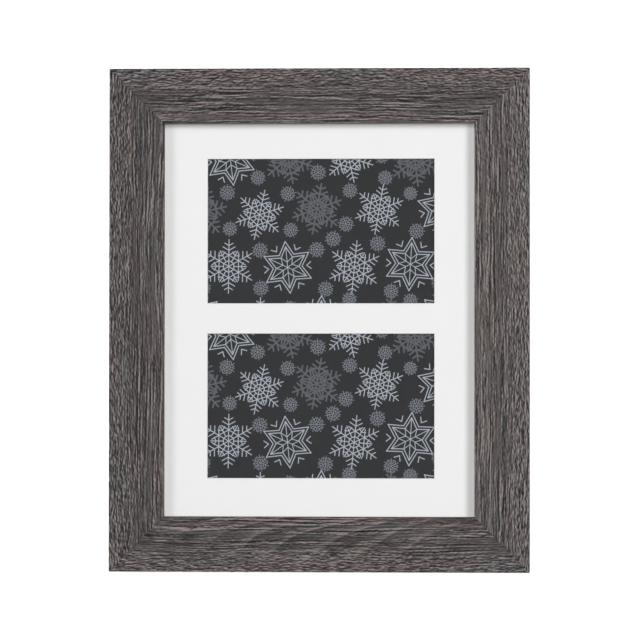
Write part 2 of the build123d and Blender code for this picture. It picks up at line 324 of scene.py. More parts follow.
def set_ramp(node, places, tones):
    """Gives a colour ramp its stops, as places and sRGB colours."""
    elements = node.color_ramp.elements
    while len(elements) < len(places):
        elements.new(0.5)
    for element, place, tone in zip(elements, places, tones):
        element.position = place
        element.color = linear(tone)


def upright_place(tree, turn=0.0):
    """Place on a piece in millimetres, turned back upright so that a pattern runs along it."""
    place = add(tree, "ShaderNodeTexCoord").outputs["Object"]
    settings = {"Rotation": (LEAN + turn, 0, 0), "Scale": (1 / MM, 1 / MM, 1 / MM)}
    return add(tree, "ShaderNodeMapping", settings, {"Vector": place}).outputs["Vector"]


def grey_oak_foil():
    """Printed and embossed foil on fibreboard: dark pressed pores between satin grey ridges."""
    material, tree, shader = new_material("grey_oak_foil_embossed", {"Specular IOR Level": 0.22})
    grain = add(tree, "ShaderNodeAttribute", {"attribute_name": "grain"}).outputs["Fac"]
    greyness = add(tree, "ShaderNodeAttribute", {"attribute_name": "greyness"}).outputs["Fac"]
    place = add(tree, "ShaderNodeAttribute", {"attribute_name": "grain_place"}).outputs["Vector"]
    # Fibres finer than the pressed grain break its tones up.
    finer = (1 / FIBRE_LENGTH, 1 / FIBRE_WIDTH, 1.0)
    fibre_place = add(tree, "ShaderNodeVectorMath", {"operation": "MULTIPLY", 1: finer}, {0: place})
    fibre = add(
        tree,
        "ShaderNodeTexNoise",
        {"Scale": 1.0, "Detail": 3.0, "Roughness": 0.7},
        {"Vector": fibre_place.outputs["Vector"]},
    ).outputs["Fac"]
    about_zero = {"operation": "MULTIPLY_ADD", 1: FIBRE_TONE, 2: -FIBRE_TONE / 2}
    centred = add(tree, "ShaderNodeMath", about_zero, {0: fibre}).outputs[0]
    tone = add(tree, "ShaderNodeMath", {"operation": "ADD"}, {0: grain, 1: centred}).outputs[0]
    ramp = add(tree, "ShaderNodeValToRGB", links={"Fac": tone})
    set_ramp(ramp, (0.08, 0.3, 0.5, 0.7, 0.92), OAK_TONES)
    # The same tones without their warmth, and darker, for the cool stripes.
    plain = add(tree, "ShaderNodeRGBToBW", links={"Color": ramp.outputs["Color"]}).outputs["Val"]
    cool_tint = {"operation": "SCALE", 0: OAK_COOL}
    cool = add(tree, "ShaderNodeVectorMath", cool_tint, {"Scale": plain}).outputs["Vector"]
    links = {SHARE: greyness, FROM: ramp.outputs["Color"], TO: cool}
    colour = add(tree, "ShaderNodeMix", {"data_type": "RGBA"}, links).outputs[MIXED]
    tree.links.new(colour, shader.inputs["Base Color"])
    # Pressed pores are matter than the ridges.
    rough = add(tree, "ShaderNodeMapRange", {"To Min": 0.72, "To Max": 0.5}, {"Value": tone})
    tree.links.new(rough.outputs["Result"], shader.inputs["Roughness"])
    bump = add(tree, "ShaderNodeBump", {"Strength": 0.35, "Distance": 0.1 * MM}, {"Height": fibre})
    tree.links.new(bump.outputs["Normal"], shader.inputs["Normal"])
    return material


def raw_fibreboard():
    """Sawn fibreboard at the backs of the rails: matt brown, mottled by short fibres."""
    material, tree, shader = new_material("fibreboard_sawn", {"Roughness": 0.85, "Specular IOR Level": 0.2})
    place = upright_place(tree)
    flecks = {"Scale": 1 / BOARD_FLECK, "Detail": 4.0}
    speck = add(tree, "ShaderNodeTexNoise", flecks, {"Vector": place}).outputs["Fac"]
    ramp = add(tree, "ShaderNodeValToRGB", links={"Fac": speck})
    set_ramp(ramp, (0.3, 0.5, 0.72), FIBREBOARD)
    tree.links.new(ramp.outputs["Color"], shader.inputs["Base Color"])
    bump = add(tree, "ShaderNodeBump", {"Strength": 0.4, "Distance": 0.1 * MM}, {"Height": speck})
    tree.links.new(bump.outputs["Normal"], shader.inputs["Normal"])
    return material


def clear_glass():
    """Float glass: clear, its mirror of the room at the strength of both its faces, faintly smeared."""
    material = bpy.data.materials.new("float_glass_clear")
    material.use_nodes = True
    tree = material.node_tree
    tree.nodes.clear()
    smears = {"Scale": 1 / GLASS_SMEAR, "Detail": 3.0}
    smear = add(tree, "ShaderNodeTexNoise", smears, {"Vector": upright_place(tree)}).outputs["Fac"]
    rough = add(tree, "ShaderNodeMapRange", {"To Min": 0.01, "To Max": 0.05}, {"Value": smear})
    mirror = add(tree, "ShaderNodeBsdfGlossy", links={"Roughness": rough.outputs["Result"]})
    through = add(tree, "ShaderNodeBsdfTransparent", {"Color": linear(GLASS_CLEAR)})
    # The near face mirrors for both faces, and the far face doesn't mirror again.
    fresnel = add(tree, "ShaderNodeFresnel", {"IOR": GLASS_IOR}).outputs["Fac"]
    back = add(tree, "ShaderNodeNewGeometry").outputs["Backfacing"]
    twice_in_front = {"operation": "MULTIPLY_ADD", 1: -2.0, 2: 2.0}
    front = add(tree, "ShaderNodeMath", twice_in_front, {0: back}).outputs[0]
    product = {"operation": "MULTIPLY", "use_clamp": True}
    share = add(tree, "ShaderNodeMath", product, {0: fresnel, 1: front}).outputs[0]
    links = {0: share, 1: through.outputs["BSDF"], 2: mirror.outputs["BSDF"]}
    both = add(tree, "ShaderNodeMixShader", links=links)
    add(tree, "ShaderNodeOutputMaterial", links={"Surface": both.outputs["Shader"]})
    return material


def white_mat():
    """Mat board: smooth matt white paper face, and a whiter core where the windows are cut at a slant,
    partly the board's own white core and partly a painted highlight that keeps the shaded slant bright.
    """
    material, tree, shader = new_material("mat_board_smooth", {"Roughness": 0.9, "Specular IOR Level": 0.2})
    # The cut is told from the paper face by the way it faces.
    normal = add(tree, "ShaderNodeTexCoord").outputs["Normal"]
    square = (0, -math.cos(LEAN), math.sin(LEAN))
    facing = add(tree, "ShaderNodeVectorMath", {"operation": "DOT_PRODUCT", 1: square}, {0: normal})
    slant = add(
        tree,
        "ShaderNodeMapRange",
        {"From Min": 0.95, "From Max": 0.8, "To Min": 0.0, "To Max": 1.0},
        {"Value": facing.outputs["Value"]},
    ).outputs["Result"]
    grit = {"Scale": 1 / MAT_TOOTH, "Detail": 2.0}
    tooth = add(tree, "ShaderNodeTexNoise", grit, {"Vector": upright_place(tree)}).outputs["Fac"]
    paper = add(tree, "ShaderNodeValToRGB", links={"Fac": tooth})
    set_ramp(paper, (0.3, 0.7), MAT_FACE)
    # The slant takes the core colour: partly the board's white core, partly a painted highlight that lifts
    # its shade.
    colour = add(
        tree,
        "ShaderNodeMix",
        {"data_type": "RGBA", TO: linear(MAT_CORE_AND_HIGHLIGHT)},
        {SHARE: slant, FROM: paper.outputs["Color"]},
    ).outputs[MIXED]
    tree.links.new(colour, shader.inputs["Base Color"])
    bump = add(tree, "ShaderNodeBump", {"Strength": 0.1, "Distance": 0.05 * MM}, {"Height": tooth})
    tree.links.new(bump.outputs["Normal"], shader.inputs["Normal"])
    return material


def printed_ink(name, colour):
    """Ink on satin photo paper: even colour with the paper's faint tooth."""
    material, tree, shader = new_material(name, {"Roughness": 0.5, "Specular IOR Level": 0.2})
    grit = {"Scale": 1 / PHOTO_TOOTH, "Detail": 3.0}
    tooth = add(tree, "ShaderNodeTexNoise", grit, {"Vector": upright_place(tree)}).outputs["Fac"]
    shade = add(tree, "ShaderNodeMapRange", {"To Min": 0.93, "To Max": 1.07}, {"Value": tooth})
    ink = add(
        tree,
        "ShaderNodeVectorMath",
        {"operation": "SCALE", 0: linear(colour)[:3]},
        {"Scale": shade.outputs["Result"]},
    ).outputs["Vector"]
    tree.links.new(ink, shader.inputs["Base Color"])
    return material


def plated_steel(name, tones, roughness):
    """Rolled or drawn steel, plated or bare: a metal's gloss, fine lines along it and a cloudy surface."""
    material, tree, shader = new_material(name, {"Metallic": 1.0})
    place = upright_place(tree)
    clouds = {"Scale": 1 / PLATING_CLOUD, "Detail": 3.0}
    cloud = add(tree, "ShaderNodeTexNoise", clouds, {"Vector": place}).outputs["Fac"]
    ramp = add(tree, "ShaderNodeValToRGB", links={"Fac": cloud})
    set_ramp(ramp, (0.3, 0.7), tones)
    tree.links.new(ramp.outputs["Color"], shader.inputs["Base Color"])
    drawn_out = (1 / ROLLING_WIDTH, 1 / ROLLING_WIDTH, 1 / ROLLING_LENGTH)
    stretched = add(tree, "ShaderNodeVectorMath", {"operation": "MULTIPLY", 1: drawn_out}, {0: place})
    line = add(
        tree,
        "ShaderNodeTexNoise",
        {"Scale": 1.0, "Detail": 2.0},
        {"Vector": stretched.outputs["Vector"]},
    ).outputs["Fac"]
    span = {"To Min": roughness - 0.1, "To Max": roughness + 0.15}
    rough = add(tree, "ShaderNodeMapRange", span, {"Value": line})
    tree.links.new(rough.outputs["Result"], shader.inputs["Roughness"])
    bump = add(tree, "ShaderNodeBump", {"Strength": 0.15, "Distance": 0.03 * MM}, {"Height": line})
    tree.links.new(bump.outputs["Normal"], shader.inputs["Normal"])
    return material


def black_hardboard(name, turn=0.0):
    """Hardboard with a black lacquered face, orange-peeled, and brown fibre showing at its cut edges."""
    material, tree, shader = new_material(name, {"Specular IOR Level": 0.4})
    place = upright_place(tree, turn)
    dimples = {"Scale": 1 / LACQUER_PEEL, "Detail": 3.0}
    peel = add(tree, "ShaderNodeTexNoise", dimples, {"Vector": place}).outputs["Fac"]
    clouds = {"Scale": 1 / LACQUER_CLOUD, "Detail": 6.0, "Roughness": 0.7}
    cloud = add(tree, "ShaderNodeTexNoise", clouds, {"Vector": place}).outputs["Fac"]
    # What doesn't face squarely off the board is a cut edge.
    normal = add(tree, "ShaderNodeTexCoord").outputs["Normal"]
    square = (0, math.cos(LEAN + turn), -math.sin(LEAN + turn))
    facing = add(tree, "ShaderNodeVectorMath", {"operation": "DOT_PRODUCT", 1: square}, {0: normal})
    flat = add(tree, "ShaderNodeMath", {"operation": "ABSOLUTE"}, {0: facing.outputs["Value"]}).outputs[0]
    face = add(tree, "ShaderNodeValToRGB", links={"Fac": cloud})
    set_ramp(face, (0.3, 0.7), LACQUER_BLACK)
    edge = add(tree, "ShaderNodeValToRGB", links={"Fac": peel})
    set_ramp(edge, (0.3, 0.7), HARDBOARD_CUT)
    cut = add(tree, "ShaderNodeMath", {"operation": "LESS_THAN", 1: 0.5}, {0: flat}).outputs[0]
    links = {SHARE: cut, FROM: face.outputs["Color"], TO: edge.outputs["Color"]}
    colour = add(tree, "ShaderNodeMix", {"data_type": "RGBA"}, links).outputs[MIXED]
    tree.links.new(colour, shader.inputs["Base Color"])
    rough = add(tree, "ShaderNodeMapRange", {"To Min": 0.42, "To Max": 0.6}, {"Value": peel})
    tree.links.new(rough.outputs["Result"], shader.inputs["Roughness"])
    bump = add(tree, "ShaderNodeBump", {"Strength": 0.3, "Distance": 0.1 * MM}, {"Height": peel})
    tree.links.new(bump.outputs["Normal"], shader.inputs["Normal"])
    return material


def plain_paper(name, tones, fleck_size):
    """Uncoated card, crepe tape or the bare side of photo paper: matt, with flecks of fibre."""
    material, tree, shader = new_material(name, {"Roughness": 0.9, "Specular IOR Level": 0.2})
    flecks = {"Scale": 1 / fleck_size, "Detail": 5.0}
    fleck = add(tree, "ShaderNodeTexNoise", flecks, {"Vector": upright_place(tree)}).outputs["Fac"]
    ramp = add(tree, "ShaderNodeValToRGB", links={"Fac": fleck})
    set_ramp(ramp, (0.35, 0.65), tones)
    tree.links.new(ramp.outputs["Color"], shader.inputs["Base Color"])
    bump = add(tree, "ShaderNodeBump", {"Strength": 0.3, "Distance": 0.1 * MM}, {"Height": fleck})
    tree.links.new(bump.outputs["Normal"], shader.inputs["Normal"])
    return material


# Rails


def moulding_profile():
    """Section of a rail, from the outer back corner round the face to the rabbet.

    Each row is a place across and in depth, the outward normal there, and whether foil covers it.
    """
    back = MOULDING_DEPTH - CORE_INSET
    rows = []

    def straight(start, end, normal, pitch):
        """Adds the points of a flat side."""
        count = max(2, round(math.dist(start, end) / pitch))
        for step in range(count):
            share = step / count
            place = [a + (b - a) * share for a, b in zip(start, end)]
            rows.append((*place, *normal, 1.0))

    def quarter(centre, radius, first):
        """Adds the points of a rounded edge."""
        for step in range(ROUND_STEPS):
            turn = first + math.pi / 2 * step / ROUND_STEPS
            normal = (-math.cos(turn), -math.sin(turn))
            rows.append((centre[0] + radius * normal[0], centre[1] + radius * normal[1], *normal, 1.0))

    inner = MOULDING_WIDTH - INNER_ROUND
    straight((0, back), (0, OUTER_ROUND), (-1, 0), SIDE_PITCH)
    quarter((OUTER_ROUND, OUTER_ROUND), OUTER_ROUND, 0)
    straight((OUTER_ROUND, 0), (inner, 0), (0, -1), FACE_PITCH)
    quarter((inner, INNER_ROUND), INNER_ROUND, math.pi / 2)
    straight((MOULDING_WIDTH, INNER_ROUND), (MOULDING_WIDTH, LIP_THICKNESS), (1, 0), SIDE_PITCH)
    rows.append((MOULDING_WIDTH, LIP_THICKNESS, 0, 0, 0))
    rows.append((RABBET_PLACE, LIP_THICKNESS, 0, 0, 0))
    rows.append((RABBET_PLACE, back, 0, 0, 0))
    return np.array(rows)


def noise(rng, x, y):
    """Gradient noise, about -1 to 1, at places given in cells."""
    x, y = x - x.min(), y - y.min()
    turn = rng.uniform(0, math.tau, (int(x.max()) + 2, int(y.max()) + 2))
    column, row = x.astype(int), y.astype(int)
    right, up = x - column, y - row
    eased_right, eased_up = right * right * (3 - 2 * right), up * up * (3 - 2 * up)
    total = np.zeros(x.shape)
    for a, b in ((0, 0), (1, 0), (0, 1), (1, 1)):
        weight = np.abs(1 - a - eased_right) * np.abs(1 - b - eased_up)
        lean = turn[column + a, row + b]
        total += weight * (np.cos(lean) * (right - a) + np.sin(lean) * (up - b))
    return total * NOISE_GAIN


def marks(rng, size, along, across):
    """Noise whose marks have the given length and width."""
    return noise(rng, along / size[0], across / size[1])


def even(field):
    """Field with a mean of 0 and a spread of 1."""
    return (field - field.mean()) / field.std()


def crease(field, width):
    """Thin dark lines where a noise passes through 0."""
    return even(-np.exp(-((field / width) ** 2)))


def ridge_highlighted(tone):
    """Lighter beside each dark line: a painted highlight on the foil that stands up beside a pressed pore.
    """
    padded = np.pad(tone, ((0, 0), (RIDGE_ROWS, RIDGE_ROWS)), mode="edge")
    beside = padded[:, :-2 * RIDGE_ROWS] + padded[:, 2 * RIDGE_ROWS:]
    return even(tone - RIDGE_HIGHLIGHT * beside)


def flame_figure(rng, along, across):
    """Curved sweeps of plain-sawn oak: each grows lighter and then breaks off at a sharp edge."""
    sway = FLAME_SWAY * marks(rng, FLAME_WAVE, along, across)
    from_edge = across - MOULDING_DEPTH
    rise = from_edge - FLAME_START
    phase = (along - FLAME_SLOPE * rise - FLAME_CURVE * rise ** 3 + sway) / FLAME_PITCH % 1
    sweep = phase ** 2 * np.clip((1 - phase) / FLAME_EDGE, 0, 1) - FLAME_MIDDLE
    inner = 1 / (1 + np.exp((FLAME_START - from_edge) / FLAME_FADE))
    return sweep * inner * np.exp(-((along / FLAME_REACH) ** 2))


def grain_fields(seed, along, across, flame):
    """Tone and greyness of the embossed oak at places along and across the foil."""
    rng = np.random.default_rng(seed)
    # The grain is short and ropy in the outer third of the face and round the side, and straight further in.
    waver = ROPY_WAVER * marks(rng, EDGE_WAVE, along, across)
    edge = MOULDING_DEPTH + MOULDING_WIDTH * ROPY_SHARE + waver
    ropy = 1 / (1 + np.exp((across - edge) / ROPY_FADE))
    sway = 1.5 * marks(rng, LONG_WAVE, along, across) + 0.35 * marks(rng, MIDDLE_WAVE, along, across)
    face_share = np.clip(across / MOULDING_DEPTH, 0.35, 1)
    rope_sway = 0.5 * marks(rng, ROPE_WAVE, along, across) + 0.35 * marks(rng, SHORT_WAVE, along, across)
    sway += face_share * ropy * rope_sway
    line = across + sway
    long = even(marks(rng, LONG_MARK, along, line)) + 0.8 * even(marks(rng, LONGEST_MARK, along, line))
    middle = even(marks(rng, MIDDLE_MARK, along, line))
    short = even(marks(rng, SHORT_MARK, along, line))
    straight = 0.75 * long + 0.65 * middle + 0.55 * short
    straight += 0.55 * crease(marks(rng, LONG_CREASE, along, line), CREASE_WIDTH)
    dash = even(marks(rng, DASH_MARK, along, line))
    rope = 0.3 * long + 0.45 * middle + 0.85 * dash + 0.8 * short
    rope += 0.35 * crease(marks(rng, SHORT_CREASE, along, line), CREASE_WIDTH)
    # Some stripes of the straight grain are marked more strongly than others.
    marked = 1 + 0.4 * even(marks(rng, STRIPE, along, line))
    inside = STRAIGHT_SPREAD * even(straight * np.clip(marked, 0.35, 1.8))
    # The ridges beside the pores get a painted highlight.
    tone = ridge_highlighted(inside * (1 - ropy) + ROPY_SPREAD * even(rope) * ropy)
    tone += 0.12 * marks(rng, TONE_PATCH, along, line) + flame * flame_figure(rng, along, across)
    grey = even(marks(rng, GREY_PATCH, along, line) + 0.35 * marks(rng, GREY_STREAK, along, line))
    # A dark band lies beside the ropy strip, and the wood is a little lighter from there on.
    from_edge = across - MOULDING_DEPTH
    dark = np.exp(-(((from_edge - DARK_PLACE) / DARK_WIDTH) ** 2))
    inner = 1 / (1 + np.exp(INNER_PLACE - from_edge))
    return even(tone) + ROPY_LIFT * ropy - DARK_DROP * dark + INNER_LIFT * inner, grey


def station_shares(length):
    """Places of the sections along a rail, as shares from -1 to 1, closer together beside the mitres."""
    ends = np.array(MITRE_STEPS) / (length / 2)
    count = round((length - 2 * MITRE_STEPS[-1]) / ALONG_PITCH)
    return np.concatenate([ends[:-1] - 1, np.linspace(ends[-1] - 1, 1 - ends[-1], count), 1 - ends[-2::-1]])


def rail_points(length, shares, profile, tone):
    """Points of a rail along X, its outer edge at 0 across, with the relief pressed in and its ends mitred.

    At a mitre the foil gives way a little, and the back corners give way to leave the joint's hairline.
    """
    from_end = (1 - np.abs(shares)) * length / 2
    near = np.clip(1 - from_end / MITRE_STEPS[-1], 0, 1)[:, None]
    relief = RELIEF_DEPTH * np.clip(0.5 - tone / RELIEF_SPREAD, 0, 1)
    pressed = (relief + ARRIS_DEPTH * near ** 2) * profile[:, 4]
    across = profile[:, 0] - pressed * profile[:, 2]
    behind = profile[:, 1] == profile[:, 1].max()
    depth = profile[:, 1] - pressed * profile[:, 3] - SEAM_DEPTH * near * behind
    along = shares[:, None] * (length / 2 - across)
    return along, across, depth


def rail_faces(stations, size, foil):
    """Quads between neighbouring stations round the section, with a cap at each mitre."""
    start = np.arange(stations - 1)[:, None] * size
    corner = np.arange(size)
    following = (corner + 1) % size
    around = [start + corner, start + following, start + size + following, start + size + corner]
    quads = np.stack(around, axis=-1).reshape(-1, 4)
    core = np.tile(foil == 0, stations - 1).astype(int)
    last = (stations - 1) * size
    faces = quads.tolist() + [list(range(size))[::-1], [last + n for n in range(size)]]
    return faces, np.concatenate([core, [1, 1]])


def oak_rail(node, length, place, seed, flame, shade, materials):
    """One mitred rail, its foil lightened by shade.

    The function place takes along and across to X and Z of the upright frame.
    """
    profile = moulding_profile()
    shares = station_shares(length)
    along = shares[:, None] * (length / 2 - profile[:, 0])
    steps = np.hypot(*np.diff(profile[:, :2], axis=0).T)
    wrap = np.broadcast_to(np.concatenate([[0], np.cumsum(steps)]), along.shape)
    tone, grey = grain_fields(seed, along, wrap, flame)
    along, across, depth = rail_points(length, shares, profile, tone)
    x, z = place(along, across)
    points = np.stack([x, depth, z], axis=-1).reshape(-1, 3)
    faces, core = rail_faces(len(shares), len(profile), profile[:, 4])
    rail = new_object(f"oak_{node}", points, faces, materials, core, smooth=core == 0)
    # Each rail takes its fibres from a place of its own in the noise.
    spot = np.stack([along, wrap, np.full(along.shape, RAIL_APART * seed)], axis=-1)
    greyness = np.clip(GREYNESS_MIDDLE + GREYNESS_SPREAD * grey, 0, GREYNESS_MOST)
    store(rail, "grain", "FLOAT", TONE_MIDDLE + shade + tone / TONE_SPREAD)
    store(rail, "greyness", "FLOAT", greyness)
    store(rail, "grain_place", "FLOAT_VECTOR", spot)
    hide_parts(node)
    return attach(rail, "frame")


def rails():
    """The four rails, each drawn along X and turned to its side of the frame."""
    materials = [grey_oak_foil(), raw_fibreboard()]
    half, tall, middle = FRAME_WIDTH / 2, FRAME_HEIGHT, FRAME_HEIGHT / 2
    across_frame = [
        ("rail_bottom", lambda along, across: (along, across), 11, FLAME_STRENGTH),
        ("rail_top", lambda along, across: (-along, tall - across), 12, 0.0),
    ]
    up_frame = [
        ("rail_left", lambda along, across: (across - half, middle - along), 13, -0.02),
        ("rail_right", lambda along, across: (half - across, middle + along), 14, 0.03),
    ]
    for node, place, seed, flame in across_frame:
        oak_rail(node, FRAME_WIDTH, place, seed, flame, 0.0, materials)
    for node, place, seed, shade in up_frame:
        oak_rail(node, FRAME_HEIGHT, place, seed, 0.0, shade, materials)


# Prints


def turned(points, angle):
    """Points turned about the origin, as an array."""
    cosine, sine = math.cos(angle), math.sin(angle)
    return np.asarray(points) @ np.array([[cosine, sine], [-sine, cosine]])


def stroke(start, end, width):
    """Straight line of ink as a four-cornered shape."""
    start, end = np.asarray(start, float), np.asarray(end, float)
    step = (end - start) / math.dist(start, end) * width / 2
    side = np.array([-step[1], step[0]])
    return [start - step + side, start - step - side, end + step - side, end + step + side]


def ring(radius, corners, first, width):
    """Closed polygon of strokes round the origin."""
    turns = [first + math.tau * corner / corners for corner in range(corners)]
    places = [(radius * math.cos(turn), radius * math.sin(turn)) for turn in turns]
    return [stroke(a, b, width) for a, b in zip(places, places[1:] + places[:1])]


def star_ring(outer, inner, points, width):
    """Outline of a star with its first point up."""
    places = []
    for corner in range(2 * points):
        radius = inner if corner % 2 else outer
        turn = math.pi / 2 + math.pi * corner / points
        places.append((radius * math.cos(turn), radius * math.sin(turn)))
    return [stroke(a, b, width) for a, b in zip(places, places[1:] + places[:1])]


def arm(length, start, twigs, width):
    """Upright arm with pairs of twigs, each given as its height and length, sloping out at 60 degrees."""
    strokes = [stroke((0, start), (0, length), width)]
    for height, reach in twigs:
        tip = (reach * math.sin(math.pi / 3), height + reach * math.cos(math.pi / 3))
        strokes.append(stroke((0, height), tip, width))
        strokes.append(stroke((0, height), (-tip[0], tip[1]), width))
    return strokes


def repeated(strokes, count, first=0.0):
    """Strokes repeated round the origin."""
    turns = [first + math.tau * step / count for step in range(count)]
    return [turned(line, turn) for turn in turns for line in strokes]


# In each function that draws a flake, r is the flake's radius.


def crystal(r):
    """Snow crystal in pale lines: six long arms with twigs, six short ones and two hexagons."""
    main = arm(r, 0, [(0.42 * r, 0.3 * r), (0.6 * r, 0.26 * r), (0.78 * r, 0.17 * r)], LINE_WIDTH)
    short = arm(0.66 * r, 0.22 * r, [(0.46 * r, 0.16 * r)], LINE_WIDTH)
    shapes = repeated(main, 6) + repeated(short, 6, math.pi / 6)
    for reach in (0.22 * r, 0.42 * r):
        shapes += ring(reach, 6, math.pi / 2, LINE_WIDTH)
    return shapes


def snow_star(r):
    """Six-pointed star in pale lines, its outline doubled, with spokes and a smaller star inside."""
    shapes = star_ring(r, 0.56 * r, 6, LINE_WIDTH) + star_ring(0.8 * r, 0.44 * r, 6, LINE_WIDTH)
    inner = [turned(line, math.pi / 6) for line in star_ring(0.44 * r, 0.2 * r, 6, FINE_WIDTH)]
    spokes = repeated([stroke((0, 0), (0, 0.8 * r), FINE_WIDTH)], 6)
    chevron = [stroke((0, 0.74 * r), (side * 0.13 * r, 0.9 * r), LINE_WIDTH) for side in (-1, 1)]
    return shapes + inner + spokes + repeated(chevron, 6, math.pi / 6)


def fern(r):
    """Lattice flake in bold lines: a hexagon and a twelve-sided ring tied by spokes, with forked ends."""
    main = arm(r, 0, [(0.16 * r, 0.2 * r), (0.56 * r, 0.32 * r), (0.78 * r, 0.2 * r)], BOLD_WIDTH)
    tie = [stroke((0, 0.3 * r), (side * 0.26 * r, 0.56 * r), BOLD_WIDTH) for side in (-1, 1)]
    short = arm(0.66 * r, 0.3 * r, [], BOLD_WIDTH)
    shapes = repeated(main, 6) + repeated(tie, 6) + repeated(short, 6, math.pi / 6)
    return shapes + ring(0.34 * r, 6, 0, BOLD_WIDTH) + ring(0.62 * r, 12, 0, BOLD_WIDTH)


def bud(r):
    """Small flake: six forked arms tied by a hexagon, and six short ones between them."""
    main = arm(r, 0, [(0.6 * r, 0.4 * r)], FINE_WIDTH)
    short = [stroke((0, 0.42 * r), (0, 0.8 * r), FINE_WIDTH)]
    return repeated(main, 6) + repeated(short, 6, math.pi / 6) + ring(0.44 * r, 6, 0, FINE_WIDTH)


def large_places(width, height, rng):
    """Places of the large flakes: staggered rows, each flake a little off its place."""
    row_step = FLAKE_PITCH * math.sqrt(3) / 2
    rows = int(height / row_step) + 3
    columns = int(width / FLAKE_PITCH) + 3
    places = []
    for row in range(rows):
        for column in range(columns):
            x = (column + row % 2 / 2 - columns / 2) * FLAKE_PITCH
            y = (row - rows / 2 + ROW_OFFSET) * row_step
            places.append(np.array((x, y)) + rng.uniform(-FLAKE_JITTER, FLAKE_JITTER, 2))
    return places


def small_places(width, height, large, rng):
    """Places of the small flakes: thrown at random and kept where the others leave room."""
    from_large = LARGE_RADIUS + SMALL_RADIUS * SMALL_FROM_LARGE
    from_small = SMALL_FROM_SMALL * SMALL_RADIUS
    kept = []
    for _ in range(SMALL_TRIES):
        spot = rng.uniform(-0.5, 0.5, 2) * (width, height)
        clear_large = all(math.dist(spot, place) > from_large for place in large)
        clear_small = all(math.dist(spot, place) > from_small for place in kept)
        if clear_large and clear_small:
            kept.append(spot)
    return kept


def snowflake_sheet(width, height):
    """Ink shapes of one print, as their corners and their inks."""
    rng = np.random.default_rng(FLAKE_SEED)
    large = large_places(width, height, rng)
    kinds = [(crystal, PALE_INK), (snow_star, PALE_INK), (fern, DIM_INK)]
    # The kinds take turns, and their order shifts after every three.
    order = [kinds[(number + number // 3) % 3] for number in range(len(large))]
    shapes, inks = [], []
    for spot, (draw, ink) in zip(large, order):
        flake = draw(LARGE_RADIUS * rng.uniform(*LARGE_SIZES))
        tilt = rng.uniform(-FLAKE_TILT, FLAKE_TILT)
        shapes += [turned(line, tilt) + spot for line in flake]
        inks += [ink] * len(flake)
    for spot in small_places(width, height, large, rng):
        flake = bud(SMALL_RADIUS * rng.uniform(*SMALL_SIZES))
        tilt = rng.uniform(0, math.tau)
        shapes += [turned(line, tilt) + spot for line in flake]
        inks += [SMALL_INK] * len(flake)
    return shapes, inks


def inked_sheet(width, height):
    """Front of a print, divided along the edges of its inks: points, triangles and their inks."""
    shapes, inks = snowflake_sheet(width, height)
    right, top = width / 2, height / 2
    sheet = [(-right, -top), (right, -top), (right, top), (-right, top)]
    corners = [sheet] + [np.asarray(shape).tolist() for shape in shapes]
    points = [Vector(place) for shape in corners for place in shape]
    faces = [[4 * n, 4 * n + 1, 4 * n + 2, 4 * n + 3] for n in range(len(corners))]
    places, _, triangles, _, _, origins = delaunay_2d_cdt(points, [], faces, 1, WELD)
    # A triangle's origin lists the shapes that cover it, 0 for the sheet itself; its lowest ink shows.
    kept = [(triangle, origin) for triangle, origin in zip(triangles, origins) if 0 in origin]
    colour = [min((inks[n - 1] for n in origin if n), default=0) for _, origin in kept]
    used = sorted({point for triangle, _ in kept for point in triangle})
    order = {old: new for new, old in enumerate(used)}
    drawn = [[order[point] for point in triangle] for triangle, _ in kept]
    return [tuple(places[point]) for point in used], drawn, colour


def rim_of(triangles):
    """Corners round the edge of a sheet of triangles, in order."""
    edges = {(triangle[n], triangle[(n + 1) % 3]) for triangle in triangles for n in range(3)}
    following = {a: b for a, b in edges if (b, a) not in edges}
    rim = [min(following)]
    while following[rim[-1]] != rim[0]:
        rim.append(following[rim[-1]])
    return rim


def snowflake_print(node, art, materials):
    """A print as a closed sheet whose front is divided into its inks and whose rest is bare paper."""
    low, high = upright_box(node)
    places, triangles, inks = art
    middle = (low + high) / 2
    front = [(middle[0] + x, low[1], middle[2] + y) for x, y in places]
    rim = rim_of(triangles)
    behind = [(front[n][0], high[1], front[n][2]) for n in rim]
    first, count = len(front), len(rim)
    ends = [(n, (n + 1) % count) for n in range(count)]
    sides = [[rim[b], rim[a], first + a, first + b] for a, b in ends]
    back = [first + n for n in reversed(range(count))]
    faces = triangles + sides + [back]
    bare = [len(materials) - 1] * (count + 1)
    print_object = new_object(f"snowflake_{node}", front + behind, faces, materials, inks + bare)
    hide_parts(node)
    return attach(print_object, "frame")


def prints():
    """The two prints, which carry the same sheet of flakes."""
    low, high = upright_box("upper_print")
    art = inked_sheet(high[0] - low[0], high[2] - low[2])
    materials = [
        printed_ink("charcoal_ink_on_photo_paper", PRINT_GROUND),
        printed_ink("pale_ink_on_photo_paper", PRINT_PALE),
        printed_ink("dim_ink_on_photo_paper", PRINT_DIM),
        printed_ink("mid_ink_on_photo_paper", PRINT_SMALL),
        plain_paper("photo_paper_bare", PHOTO_PAPER, PHOTO_FLECK),
    ]
    for node in ("upper_print", "lower_print"):
        snowflake_print(node, art, materials)


# Glass


